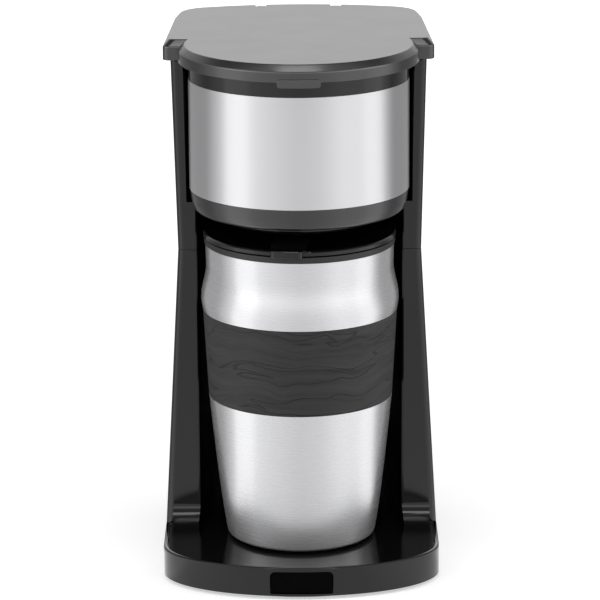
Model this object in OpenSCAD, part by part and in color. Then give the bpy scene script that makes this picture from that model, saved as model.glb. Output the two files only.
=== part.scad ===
// Single-cup drip coffee maker with a steel travel mug.
// X runs to the right, Y to the back and Z up. The origin is on the table, below the middle of
// the part. The mug and the brew head share one upright axis, in front of that middle.

/* [Mug] */
// Height of the closed mug, from its foot to the top of its lid
mug_h = 141.7; // [134:0.1:150]
// Radius at the swell above the sleeve
mug_swell_r = 44.1; // [42:0.1:46]
// Radius at the waist under the rim
mug_waist_r = 41.8; // [39:0.1:43]
// Radius at the bottom of the steel wall
mug_base_r = 33.1; // [30:0.1:36]
// Thickness of each steel wall of the mug
steel_t = 0.7; // [0.5:0.1:1]
// Height of the foot under the steel
foot_h = 0.8; // [0.5:0.1:1.5]
// Thickness of the grip sleeve
sleeve_t = 1.6; // [1:0.1:2.4]
// Height of the sleeve's lower edge above the foot
sleeve_low = 66.3; // [56:0.1:72]
// Width of the sleeve, from its lower edge to its upper one
sleeve_w = 39.5; // [28:0.5:42]
// Height of the collar round the rim
collar_h = 2.9; // [2:0.1:5]
// Thickness of the mug lid's edge
mug_lid_t = 2.2; // [1.8:0.1:3]
// Width of the closure that slides over the drinking hole
closure_w = 14.5; // [12:0.5:18]
// Travel of the closure
closure_travel = 17; // [16.5:0.1:18]

/* [Base] */
// Space round the mug at its widest
mug_clear = 2.6; // [2:0.1:4]
// How far the tray reaches in front of the mug's space
tray_reach = 7.3; // [5:0.1:12]
// Height of the tray's rim
rim_z = 15; // [13:0.5:18]
// Depth of the tray's floor below its rim
tray_lip = 0.9; // [0.6:0.1:1]
// Width of the tray's rim
rim_w = 2; // [1.5:0.1:3]
// Height of the hollow sweep from the tray up to the column's face
hollow_h = 10.5; // [6:0.5:14]
// Length of that sweep over the tray's floor
hollow_l = 26; // [12:0.5:27]
// How far the feet stand out below the base
foot_out = 1.5; // [1:0.1:3]
// Radius of a rubber foot
pad_r = 7; // [5:0.5:8]

/* [Column] */
// Wall of the mouldings
wall = 2.4; // [2:0.1:2.8]
// Distance from the mug's axis back to the column's front face
face_back = 8; // [6:0.5:12]
// Depth of the column from front to back
column_d = 86; // [82:1:96]
// Height of the seam between the lower and the upper housing
seam_z = 144; // [136:0.5:150]
// How much wider each side of the column is at the base than at the seam
flare_low = 7.8; // [4:0.1:9]
// How much wider each side of the column is at the top than at the seam
flare_top = 2.2; // [1:0.1:4]
// How much each side draws in towards the back
draw_in = 3.4; // [2:0.1:5]

/* [Brew head] */
// Space between the top of the mug's lid and the drip cup
mug_gap = 5.4; // [5:0.1:8]
// Radius over the steel band
head_r = 48.7; // [46:0.1:50]
// Thickness of the steel band
band_t = 0.8; // [0.5:0.1:1.2]
// Height of the drip cup
cup_h = 4.1; // [3:0.1:7]
// Radius of the drip cup
cup_r = 36.5; // [32:0.5:40]
// Height of the ring below the band
low_ring_h = 10.1; // [8:0.1:14]
// Height of the steel band
band_h = 49.4; // [44:0.1:56]
// Height of the ring above the band
top_ring_h = 6.9; // [5:0.1:9]
// Gap between the head and the housing round it
pocket_gap = 2.4; // [1.5:0.1:3.5]

/* [Lid] */
// Thickness of the lid's edge over the head
lid_edge = 4.5; // [4:0.1:6]
// Height of the slope round the lid's top
lid_slope_h = 3; // [2:0.1:4]
// Width of the slope round the lid's top
lid_slope_w = 3; // [2:0.1:4]
// How far the lid reaches past the housing's sides
lid_over = 3.3; // [2:0.1:5]
// Width of the thumb tab
tab_w = 18.7; // [14:0.1:24]
// Radius of the hinge pin
pin_r = 2; // [1.5:0.1:2.5]
// Width of the lid's knuckle
knuckle_w = 30; // [24:0.5:36]

/* [Hidden] */
$fn = 96;

fit = 0.3;         // gap between pieces that move past each other
seat = 0.15;       // gap between fixed pieces with curved seats
run = 0.05;        // running clearance of the hinge pin
over = 1;          // how far a cut runs past the face it opens
corner_steps = 9;  // flats that stand for each rounded corner of an outline; odd, so that one lies midway

// Colours
black = "#343436";
matte = "#232325";
steel = "#c9c9cb";
rubber = "#1c1c1c";
clear_grey = "#8d9499";
aluminium = "#a9abad";
brass = "#b9964f";
silicone = "#d9d6cc";

// Plan
cavity_r = mug_swell_r + mug_clear;
pocket_r = head_r + pocket_gap;
seam_hw = max(cavity_r, pocket_r) + 3.6;
base_hw = seam_hw + flare_low - 0.5;   // the column meets the base's side at the rim
top_hw = seam_hw + flare_top;
hinge_r = 2 * pin_r;
hinge_back = 4;                       // hinge axis behind the column
front = -(cavity_r + tray_reach);     // from the mug's axis
back = face_back + column_d + hinge_back + hinge_r;
axis_y = -(front + back) / 2;
front_y = axis_y + front;
face_y = axis_y + face_back;
rear_y = face_y + column_d;
hinge_y = rear_y + hinge_back;
tray_round = 0.54 * base_hw;          // depth of the tray's oval front
rear_bulge_r = 140;
rear_corner_r = 15;
edge_r = 3;

// Heights
cover_t = 2.4;
base_z = foot_out;
cover_top = base_z + cover_t;
floor_z = rim_z - tray_lip;
column_z = base_z + 3;                // the column starts inside the base
mug_top = floor_z + mug_h;
cup_z = mug_top + mug_gap;
ring_z = cup_z + cup_h;
band_z = ring_z + low_ring_h;
top_ring_z = band_z + band_h;
head_top = top_ring_z + top_ring_h;
pocket_z = ring_z + 0.7;
ring_inset = 2.4;                     // of the lower ring's rounded edge below the pocket
lid_z = head_top + fit;
lid_top = lid_z + lid_edge + lid_slope_h;
ear_drop = 1.6;                       // the lid's sides hang lower than its front
housing_top = lid_z - ear_drop - fit;
hinge_z = lid_top - lid_slope_h - hinge_r / 2;

// Screws
screw_x = base_hw - 17;
screw_front_y = front_y + 38;
pad_front_y = front_y + 24;
screw_rear_y = rear_y - 13;

// Water path and heater
heater_y = axis_y + cavity_r + wall + 17;
heater_z = 22;
heater_h = 20;
heater_r = 13;
port_x = 30;
barb_r = 4;
bore_r = 2.6;
barb_h = 12;
hose_t = 1.6;
tank_z = 122;
tank_t = 2;
sleeve_r = barb_r + hose_t + 0.6;     // tube in the tank that the riser passes through
valve_z = heater_z + heater_h + barb_h + 8;
valve_h = 16;
valve_r = 6.5;
ball_r = 3;
ball_lift = 2;
valve_seat_r = 2;
ball_rest = sqrt(pow(ball_r, 2) - pow(valve_seat_r, 2)) + 0.1;    // of the ball's middle, over its seat
bracket_t = 1.6;
post_x = port_x + heater_r + 4;

// Switch
button_w = 27.4;
button_z = base_z + 1.4;
button_h = floor_z - button_z - 1.5;
button_travel = 1.8;
switch_y = front_y + 16;
switch_d = 13;
terminal_x = 6;

// Cord inlet
gland_x = 26 - base_hw;
gland_z = rim_z + 11;
gland_bore = 3.5;
gland_flange = 2.5;

// Mug heights above its foot
shell_z = foot_h;
sleeve_high = sleeve_low + sleeve_w;
swell_z = sleeve_high + 5.1;
collar_gap = 0.7;
lid_under = mug_h - mug_lid_t;
collar_top = lid_under - collar_gap;
steel_top = collar_top - collar_h;
waist_z = steel_top - 9.8;
sleeve_low_r = mug_base_r + 8.1;
sleeve_high_r = mug_swell_r - 0.7;
rim_r = mug_waist_r + 0.2;
air_gap = 2;                          // between the mug's two walls
mug_turn = -7.8;                      // how far the mug stands turned
closure_high = 1.4;

module at_axis(z = 0) translate([0, axis_y, z]) children();

module both_sides() {
  children();
  mirror([1, 0, 0]) children();
}

// A ring about the mug's axis
module ring(r_out, r_in, z0, z1) at_axis(z0) tube(r_out, r_in, z1 - z0);

module tube(r_out, r_in, h) difference() {
  cylinder(r = r_out, h = h);
  translate([0, 0, -over]) cylinder(r = r_in, h = h + 2 * over);
}

// Solid of revolution about the mug's axis, from [height, radius] points
module turned(points) at_axis() rotate_extrude() polygon([for (p = points) [p.y, p.x]]);

// ---- Outlines

function unit(v) = v / norm(v);

// The arc that rounds the corner p, between its neighbours a and b, by a radius
function rounded_corner(a, p, b, r) =
  let (
    u = unit(a - p), v = unit(b - p), half = acos(u * v) / 2,
    middle = p + unit(u + v) * r / sin(half),
    from = p + u * r / tan(half) - middle, to = p + v * r / tan(half) - middle,
    start = atan2(from.y, from.x), turn = atan2(to.y, to.x) - start,
    sweep = turn > 180 ? turn - 360 : turn < -180 ? turn + 360 : turn
  )
  [for (i = [0:corner_steps]) let (t = start + sweep * i / corner_steps) middle + r * [cos(t), sin(t)]];

// A closed outline from corners of [x, y, radius]
function rounded(corners) =
  let (n = len(corners), at = [for (c = corners) [c.x, c.y]])
  [for (i = [0:n - 1]) each corners[i].z == 0 ? [at[i]]
    : rounded_corner(at[(i + n - 1) % n], at[i], at[(i + 1) % n], corners[i].z)];

// Plan of the column and the lid: it draws in towards the back, and the back is gently bowed
function column_plan(hw, y0, y1, r0, r1) =
  let (
    spread = hw - draw_in - 0.85 * r1, bow = asin(spread / rear_bulge_r),
    peak = y1 - rear_bulge_r + rear_bulge_r / cos(bow),
    side = hw - draw_in * (y1 - 10 - y0) / (column_d - 10), side_y = peak - side * tan(bow)
  )
  rounded([
    [-hw, y0, r0], [hw, y0, r0], [side, side_y, r1],
    [0, peak, rear_bulge_r], [-side, side_y, r1]
  ]);

// Outer face of the base's bowed back, at a distance from the middle
function back_wall_y(x) = rear_y - rear_bulge_r + sqrt(pow(rear_bulge_r, 2) - pow(x, 2));

// How much wider each side of the column is at a height than at the seam
function flare(z) = z < seam_z ? flare_low * (seam_z - z) / (seam_z - column_z)
  : flare_top * (z - seam_z) / (housing_top - seam_z);

// Plan of the base: an oval front, straight sides and the column's back
function base_plan(inset) =
  let (
    hw = base_hw - inset, y0 = front_y + tray_round,
    plan = column_plan(hw, face_y, rear_y + 2 - inset, 0, rear_corner_r)
  )
  concat(
    [for (t = [-180:4:0]) [hw * cos(t), y0 + (tray_round - inset) * sin(t)]],
    [for (i = [1:len(plan) - 1]) plan[i]], [plan[0]]
  );

module slab(points, z0, z1) translate([0, 0, z0]) linear_extrude(z1 - z0) polygon(points);

// The column's form between two heights, set in by a wall. Its halves move apart as it widens, so
// every side stays a flat face.
module column_form(z0, z1, inset, past = 0) {
  thin = 0.01;
  plan = column_plan(seam_hw - inset, face_y + inset, rear_y - inset, edge_r, rear_corner_r);
  hull() {
    slab(parted(plan, flare(z0)), z0 - past, z0 + thin);
    slab(parted(plan, flare(z1)), z1 - thin, z1 + past);
  }
}

function parted(points, d) = [for (p = points) [p.x + sign(p.x) * d, p.y]];

// ---- Housings

module lower_housing() color(black) difference() {
  union() {
    difference() {
      union() {
        slab(base_plan(0), base_z, rim_z);
        column_form(column_z, seam_z, 0);
      }
      slab(base_plan(wall), base_z - over, floor_z - wall);
      difference() {
        column_form(column_z, seam_z, wall, over);
        at_axis(floor_z - wall - over) cylinder(r = cavity_r + wall, h = seam_z);
      }
      intersection() {
        slab(base_plan(rim_w), floor_z, rim_z + over);
        translate([-base_hw, front_y, 0]) cube([2 * base_hw, face_y - front_y - 0.2, seam_z]);
      }
    }
    tray_hollow();
    screw_places() translate([0, 0, cover_top]) cylinder(r = 4, h = floor_z - wall / 2 - cover_top);
    screw_rear_webs();
  }
  at_axis(floor_z) cylinder(r = cavity_r, h = seam_z);
  screw_places() translate([0, 0, base_z]) cylinder(r = 1.4, h = floor_z - wall - base_z);
  switch_hole();
  gland_place() translate([0, 0, -9]) cylinder(r = 6.2, h = 20);
}

// The hollow sweep between the tray's floor and the column's front face
module tray_hollow() {
  w = base_hw - edge_r - 0.4;
  sunk = 0.6;
  translate([-w, face_y - hollow_l, floor_z]) rotate([90, 0, 90]) linear_extrude(2 * w) polygon(concat(
    [[hollow_l + sunk, hollow_h], [hollow_l + sunk, -sunk], [0, -sunk]],
    [for (t = [2:8:90]) [hollow_l * sin(t), hollow_h * (1 - cos(t))]]
  ));
}

module screw_places() both_sides() {
  translate([screw_x, screw_front_y, 0]) children();
  translate([screw_x, screw_rear_y, 0]) children();
}

// Webs that tie the rear screw posts to the back wall
module screw_rear_webs() both_sides() translate([screw_x - 1, screw_rear_y, cover_top])
  cube([2, back_wall_y(screw_x) + 2 - wall / 2 - screw_rear_y, floor_z - wall / 2 - cover_top]);

// The opening for the power button, through the wall of the tray's front
module switch_hole()
  button_block(button_w + 2 * fit, button_z - fit, button_h + 2 * fit, front_y - over,
    over + wall + button_travel + 1);

// A block with rounded upper corners, y0 to y0 + d
module button_block(w, z, h, y0, d) translate([0, y0 + d, z]) rotate([90, 0, 0]) linear_extrude(d)
  polygon(rounded([[-w / 2, 0, 0.8], [w / 2, 0, 0.8], [w / 2, h, 2.4], [-w / 2, h, 2.4]]));

module bottom_cover() color(matte) {
  difference() {
    slab(base_plan(wall + fit), base_z, cover_top);
    screw_places() translate([0, 0, base_z - over]) {
      cylinder(r = 1.7, h = cover_t + 2 * over);
      cylinder(r = 3.6, h = over + 1.4);
    }
    pad_places() translate([0, 0, base_z - over]) cylinder(r = pad_r + seat, h = over + 1.2);
    translate([-button_w / 2 - 0.6, front_y, base_z - over])
      cube([button_w + 1.2, wall + 1 + button_travel + fit, cover_t + 2 * over]);
  }
  both_sides() translate([post_x, heater_y, cover_top])
    tube(4.5, 1.4, heater_z - bracket_t - base_z - cover_t);
}

module pad_places() both_sides() {
  translate([screw_x - 16, pad_front_y, 0]) children();
  translate([screw_x - 14, rear_y - 14, 0]) children();
}

module rubber_feet() color(rubber) pad_places() {
  cylinder(r1 = pad_r - 0.8, r2 = pad_r, h = 0.8);
  translate([0, 0, 0.8]) cylinder(r = pad_r, h = base_z + 1.2 - 0.8);
}

module base_screws() color(steel) screw_places() {
  translate([0, 0, base_z + 0.1]) difference() {
    cylinder(r = 3.3, h = 1.3);
    translate([-2.4, -0.4, -over]) cube([4.8, 0.8, over + 0.6]);
    translate([-0.4, -2.4, -over]) cube([0.8, 4.8, over + 0.6]);
  }
  translate([0, 0, base_z + 1.4]) cylinder(r = 1.3, h = floor_z - wall - base_z - 2);
}

module upper_housing() color(black) difference() {
  union() {
    difference() {
      column_form(seam_z, housing_top, 0);
      difference() {
        column_form(seam_z, housing_top, wall, over);
        at_axis(seam_z - 2 * over) cylinder(r = cavity_r + wall, h = pocket_z - seam_z + over);
        at_axis(pocket_z - wall) cylinder(r = pocket_r + wall, h = housing_top);
      }
    }
    hinge_ears();
  }
  at_axis(seam_z - over) cylinder(r = cavity_r, h = housing_top);
  at_axis(ring_z - over) cylinder(r = max(cavity_r, head_r - ring_inset), h = housing_top);
  at_axis(pocket_z) cylinder(r = pocket_r, h = housing_top);
  hinge_place() cylinder(r = pin_r + run, h = 4 * knuckle_w, center = true);
}

module hinge_place() translate([0, hinge_y, hinge_z]) rotate([0, 90, 0]) children();

// The two ears that hold the hinge pin
module hinge_ears() both_sides() {
  ear_w = 4;
  translate([knuckle_w / 2 + fit, 0, 0]) {
    translate([0, hinge_y, hinge_z]) rotate([0, 90, 0]) cylinder(r = hinge_r, h = ear_w);
    translate([0, rear_y - wall, housing_top - 10]) cube([ear_w, wall, 10]);
    translate([0, rear_y - 1.4, housing_top - 6]) rotate([0, 90, 0]) rotate([0, 0, 90])
      linear_extrude(ear_w) polygon([
        [0, 0], [hinge_back + 0.7 * hinge_r + 1.4, hinge_z + 6 - housing_top - 0.7 * hinge_r],
        [hinge_back + 1.4 - 0.7 * hinge_r, hinge_z + 6 - housing_top], [0, 7]
      ]);
  }
}

module hinge_pin() color(steel) hinge_place()
  cylinder(r = pin_r, h = knuckle_w + 2 * fit + 8, center = true);

// ---- Water tank, brew head and filter

module water_tank() color(clear_grey) {
  difference() {
    union() {
      tank_form(0, tank_z, housing_top + 1.2);
      difference() {
        slab(column_plan(top_hw - 1.4, face_y + wall, rear_y - 1.4, edge_r, rear_corner_r),
          housing_top, housing_top + 1.2);
        at_axis(0) cylinder(r = pocket_r + 1.2, h = 2 * housing_top);
      }
      outlet_place() translate([0, 0, tank_z - barb_h]) cylinder(r = barb_r, h = barb_h + 1);
    }
    tank_form(tank_t, tank_z + tank_t, housing_top + 1.2 + over);
    riser_place() translate([0, 0, tank_z - over]) cylinder(r = sleeve_r + 0.5, h = tank_t + 2 * over);
    outlet_place() translate([0, 0, tank_z - barb_h - over])
      cylinder(r = bore_r, h = barb_h + tank_t + 3 * over);
  }
  riser_place() translate([0, 0, tank_z]) tube(sleeve_r + tank_t, sleeve_r, housing_top - tank_z - 6);
}

// The tank fills the column behind the brew head
module tank_form(inset, z0, z1) difference() {
  setback = 24;
  gap = wall + 0.7 + inset;
  slab(column_plan(seam_hw - gap - draw_in * setback / (column_d - 10), face_y + setback + inset,
    rear_y - gap, 1.5, rear_corner_r), z0, z1);
  at_axis(z0 - over) cylinder(r = max(pocket_r, cavity_r) + wall + 0.5 + inset, h = z1 - z0 + 2 * over);
}

module outlet_place() translate([-port_x, heater_y, 0]) children();
module riser_place() translate([port_x, heater_y, 0]) children();

chamber_r = head_r - band_t - seat;    // under the band
chamber_in = chamber_r - wall;
ring_in = chamber_r - 1.7;             // the chamber steps in for the top ring

module brew_chamber() color(matte) {
  difference() {
    union() {
      ring(chamber_r, chamber_in, band_z, top_ring_z);
      ring(ring_in, chamber_in, top_ring_z - over, head_top - 1.5);
      at_axis(band_z) cylinder(r = chamber_r, h = wall);
      chamber_saddle();
    }
    at_axis(band_z - over) cylinder(r = 3.5, h = wall + 2 * over);
    at_axis(band_z + 0.8) cylinder(r1 = 3.5, r2 = chamber_in - 8, h = wall);
  }
}

// The chamber stands against the pocket's back, and its shelf lies on top of the pocket's wall
module chamber_saddle() {
  intersection() {
    union() {
      ring(pocket_r - seat, chamber_r - over, band_z + 2, housing_top);
      ring(pocket_r + 1, ring_in - 0.5, housing_top, housing_top + 1.2);
    }
    at_axis() translate([-18, 0, 0]) cube([36, 2 * pocket_r, 2 * housing_top]);
  }
}

module steel_band() color(steel) at_axis(band_z) rotate([0, 0, 115]) rotate_extrude(angle = 310)
  translate([head_r - band_t, 0]) square([band_t, band_h - 0.1]);

module head_top_ring() color(black) difference() {
  turned([
    [top_ring_z, ring_in + seat], [top_ring_z, head_r - 0.2], [head_top - 0.5, head_r - 0.2],
    [head_top, head_r - 0.7], [head_top, ring_in - 1], [head_top - 1.3, ring_in - 1],
    [head_top - 1.3, ring_in + seat]
  ]);
  saddle_cut(top_ring_z - over, head_top + over);
}

// Room for the chamber's saddle at the back of a ring
module saddle_cut(z0, z1) at_axis(z0) translate([-18.4, 0, 0]) cube([36.8, 2 * pocket_r, z1 - z0]);

module head_lower_ring() color(black) turned([
  [band_z - 0.1, head_r - 0.2], [ring_z + 4.5, head_r - 0.9], [ring_z + 1.6, head_r - 1.8],
  [ring_z + 0.4, head_r - 3.1], [ring_z, head_r - 4.8], [ring_z, cup_r - 6], [ring_z + wall, cup_r - 6],
  [ring_z + wall, head_r - 5], [ring_z + wall + 1.5, head_r - 4], [band_z - 0.1, head_r - 2.8]
]);

module drip_cup() color(black) turned([
  [cup_z, 3], [cup_z, cup_r - 2.2], [cup_z + 0.7, cup_r - 0.7], [cup_z + 2, cup_r - 0.1],
  [ring_z - 0.1, cup_r], [ring_z - 0.1, cup_r - 6.3], [band_z - 0.1, cup_r - 6.3],
  [band_z - 0.1, cup_r - 8.3], [cup_z + 2, cup_r - 8.3], [cup_z + 2, 3]
]);

basket_top = head_top - 2.5;
basket_r = chamber_in - 0.4;
basket_low = band_z + wall + 4;
basket_low_r = basket_r - 12;

module filter_basket() color(matte) {
  difference() {
    union() {
      at_axis(basket_low) cylinder(r1 = basket_low_r, r2 = basket_r - 1, h = basket_top - 2 - basket_low);
      at_axis(basket_top - 2) cylinder(r = basket_r, h = 2);
    }
    at_axis(basket_low + 2)
      cylinder(r1 = basket_low_r - 2, r2 = basket_r - 3, h = basket_top - 4 - basket_low);
    at_axis(basket_top - 2 - 0.01) cylinder(r = basket_r - 3, h = 4);
    for (i = [0:7]) at_axis(basket_low - over) rotate([0, 0, 45 * i]) translate([basket_low_r - 9, 0, 0])
      cylinder(r = 3, h = 2 + 2 * over);
  }
  at_axis() for (i = [0:2]) rotate([0, 0, 120 * i + 30]) translate([basket_low_r - 6, -1.5, basket_low - 4])
    cube([4, 3, 4.2]);
}

mesh_low = basket_low + 2.3;
mesh_top = basket_top - 1;
mesh_r = basket_r - 3.5;
mesh_low_r = basket_low_r - 3;
mesh_t = 0.8;

// Permanent filter: a fine mesh cup in a rim with a fold of handle
module filter_mesh() color(brass) {
  difference() {
    union() {
      at_axis(mesh_low) cylinder(r1 = mesh_low_r, r2 = mesh_r - 0.4, h = mesh_top - mesh_low);
      at_axis(basket_top + 0.1) cylinder(r = mesh_r + 2, h = 1);
      at_axis(mesh_top - over) cylinder(r = mesh_r - 0.4, h = basket_top + 0.2 - mesh_top + over);
    }
    at_axis(mesh_low + mesh_t)
      cylinder(r1 = mesh_low_r - mesh_t, r2 = mesh_r - 0.4 - mesh_t, h = mesh_top - mesh_low - mesh_t);
    at_axis(mesh_top - 0.01) cylinder(r = mesh_r - 0.4 - mesh_t, h = 6);
  }
}

// Carries the hot water from the riser, over the pocket's wall, to the filter
spout_z = head_top + 0.2;
spout_t = 3.2;

module water_spout() color(matte) difference() {
  union() {
    riser_place() translate([0, 0, spout_z - 9]) cylinder(r = bore_r + 1.2, h = 9 + spout_t);
    spout_arm(6, spout_z, spout_z + spout_t);
  }
  riser_place() translate([0, 0, spout_z - 9 - over]) cylinder(r = bore_r, h = 9 + over + 1);
  spout_arm(3, spout_z + 1, spout_z + 2.2);
  translate([spout_end.x, spout_end.y, spout_z - over]) cylinder(r = 2, h = 3);
}

spout_end = [8, axis_y + chamber_in - 16];

// A straight arm with round ends, from the riser to its mouth
module spout_arm(r, z0, z1) {
  from = [port_x, heater_y];
  run_v = spout_end - from;
  translate([0, 0, z0]) linear_extrude(z1 - z0) {
    translate(from) circle(r);
    translate(spout_end) circle(r);
    translate(from) rotate(atan2(run_v.y, run_v.x)) translate([0, 0.1 - r])
      square([norm(run_v), 2 * r - 0.2]);
  }
}

// ---- Heater and its fittings

module heater_block() color(aluminium) difference() {
  union() {
    translate([-port_x, heater_y - heater_r, heater_z]) cube([2 * port_x, 2 * heater_r, heater_h]);
    both_sides() translate([port_x, heater_y, heater_z]) {
      cylinder(r = heater_r, h = heater_h);
      cylinder(r = barb_r, h = heater_h + barb_h);
    }
  }
  both_sides() translate([port_x, heater_y, heater_z + heater_h / 2])
    cylinder(r = bore_r, h = heater_h + barb_h);
  translate([0, heater_y, heater_z + heater_h / 2]) rotate([0, 90, 0])
    cylinder(r = bore_r, h = 2 * port_x, center = true);
  for (y = [-7, 7]) translate([0, heater_y + y, heater_z + heater_h + 1]) rotate([0, 90, 0])
    cylinder(r = 2.5, h = 2 * port_x - 2 * heater_r, center = true);
}

module heater_bracket() color(steel) difference() {
  translate([-post_x - 5, heater_y - 8, heater_z - bracket_t]) cube([2 * post_x + 10, 16, bracket_t]);
  both_sides() translate([post_x, heater_y, heater_z - bracket_t - over])
    cylinder(r = 1.8, h = bracket_t + 2 * over);
}

module heater_screws() color(steel) both_sides() translate([post_x, heater_y, 0]) {
  translate([0, 0, heater_z - 12]) cylinder(r = 1.3, h = 12.1);
  translate([0, 0, heater_z]) cylinder(r = 2.9, h = 1.8);
}

thermostat_r = 7.5;

module thermostat() color(matte) translate([0, heater_y, heater_z + heater_h + 0.1]) {
  cylinder(r = thermostat_r, h = 6);
  cylinder(r = 3, h = 9);
  both_sides() translate([thermostat_r - 3.5, -2.4, 5]) cube([0.8, 4.8, 8]);
}

fuse_r = 2.6;
fuse_l = 14;
fuse_x = 7;    // of a fuse's inner end

module thermal_fuses() color(silicone) both_sides()
  translate([fuse_x, heater_y + heater_r + fuse_r + 0.1, heater_z + heater_h / 2]) rotate([0, 90, 0])
    cylinder(r = fuse_r, h = fuse_l);

module check_valve() color(matte) outlet_place() difference() {
  union() {
    translate([0, 0, valve_z]) cylinder(r = valve_r, h = valve_h);
    translate([0, 0, valve_z - 8]) cylinder(r = barb_r, h = valve_h + 16);
  }
  translate([0, 0, valve_z - 9]) cylinder(r = valve_seat_r, h = valve_h + 18);
  translate([0, 0, valve_z + 4]) cylinder(r = ball_r + 0.6, h = ball_rest + ball_r + ball_lift + 0.7);
}

module check_ball() color(steel) outlet_place()
  translate([0, 0, valve_z + 4 + ball_rest]) sphere(r = ball_r);

module inlet_hose() color(silicone) outlet_place() {
  low = heater_z + heater_h + 1;
  translate([0, 0, low]) tube(barb_r + hose_t, barb_r + seat, valve_z - low - 0.2);
  translate([0, 0, valve_z + valve_h + 0.2])
    tube(barb_r + hose_t, barb_r + seat, tank_z - valve_z - valve_h - 0.7);
}

module riser_hose() color(silicone) riser_place() {
  low = heater_z + heater_h + 1;
  translate([0, 0, low]) tube(barb_r + hose_t, barb_r + seat, spout_z - 1 - low);
}

module hose_clamps() color(steel) {
  for (z = [heater_z + heater_h + 5, valve_z + valve_h + 2, tank_z - 8]) outlet_place() clamp(z);
  riser_place() clamp(heater_z + heater_h + 5);
}

module clamp(z) translate([0, 0, z]) {
  tube(barb_r + hose_t + 1, barb_r + hose_t + seat, 5);
  for (turn = [-14, 14]) rotate([0, 0, turn]) translate([barb_r + hose_t + 0.6, -0.5, 0]) cube([4, 1, 5]);
}

// ---- Switch, leads and cord inlet

module switch_body() color(matte) translate([0, switch_y, cover_top + 0.2]) difference() {
  translate([-10, 0, 0]) cube([20, switch_d, floor_z - wall - base_z - cover_t - 0.5]);
  translate([-3.6, -over, 1]) cube([7.2, over + 1.6, 5]);
}

module pilot_lamp() color("#8a3030") translate([7, switch_y - 2.6, cover_top + 4]) rotate([-90, 0, 0]) {
  cylinder(r = 1.5, h = 2.5);
  sphere(r = 1.5);
}

module power_button() color(matte) {
  low = cover_top + 0.5;
  high = floor_z - wall - 0.5;
  intersection() {
    slab(base_plan(0.5), base_z, rim_z);
    button_block(button_w, button_z, button_h, front_y - over, wall + 1.6);
  }
  intersection() {
    slab(base_plan(wall + fit), low, high);
    translate([-button_w / 2 - 1.6, front_y, low]) cube([button_w + 3.2, wall + 2.6, high - low]);
  }
  translate([-3, front_y + wall + 1, low + 1])
    cube([6, switch_y - front_y - wall - 1 - button_travel - fit, 3.6]);
}

lead_r = 1.3;
lead_z = cover_top + lead_r + 2;

module lead(points) {
  for (i = [0:len(points) - 2]) {
    a = points[i];
    v = points[i + 1] - a;
    translate(a) rotate([0, acos(v.z / norm(v)), atan2(v.y, v.x)]) cylinder(r = lead_r, h = norm(v));
    if (i > 0) translate(a) sphere(r = lead_r + 0.2);
  }
}

// Leads from the cord inlet to the switch, and on to the heater's fuses
module leads() color("#7a2f2a") {
  side_x = base_hw - 24;
  bend_x = 22;
  bend_y = switch_y + 19;
  lead([[gland_x + 4, rear_y - 8, gland_z - 9], [gland_x, heater_y, lead_z],
    [-side_x, axis_y + 20, lead_z], [-bend_x, bend_y, lead_z], [-terminal_x, bend_y - 1, lead_z],
    [-terminal_x, switch_y + switch_d + 0.2, lead_z]]);
  lead([[terminal_x, switch_y + switch_d + 0.2, lead_z], [terminal_x, bend_y - 1, lead_z],
    [bend_x, bend_y, lead_z], [side_x, axis_y + 20, lead_z], [side_x - 1, heater_y, lead_z],
    [port_x - 4, heater_y + heater_r + 5, lead_z + 6],
    [fuse_x + fuse_l + 0.2 + lead_r, heater_y + heater_r + fuse_r, heater_z + heater_h / 2]]);
}

// Z of this place points out of the back
module gland_place() translate([gland_x, gland_wall_y, gland_z]) rotate([-90, 0, 0]) children();

// The back wall's outer face at the cord inlet
gland_wall_y = back_wall_y(abs(gland_x) - flare(gland_z));

module cord_gland() color(rubber) gland_place() difference() {
  union() {
    translate([0, 0, -5]) cylinder(r = 5.9, h = 8);
    translate([0, 0, 2.6]) cylinder(r1 = 8, r2 = 7, h = gland_flange);
    translate([0, 0, -9]) cylinder(r = 7.6, h = 2);
    translate([0, 0, -8]) cylinder(r = 5.9, h = 4);
  }
  translate([0, 0, -9 - over]) cylinder(r = gland_bore, h = 20);
}

// ---- Lid

lid_r = head_r + 4.3;
lid_hw = top_hw + lid_over;
lid_front_y = face_y - 1;
lid_rear_y = rear_y + lid_over + 0.8;
rear_slope = 0.8;                      // the slope round the top is narrow at the back

function lid_plan(inset, rear) =
  column_plan(lid_hw - inset, lid_front_y + inset, lid_rear_y - rear, edge_r, rear_corner_r);

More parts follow.
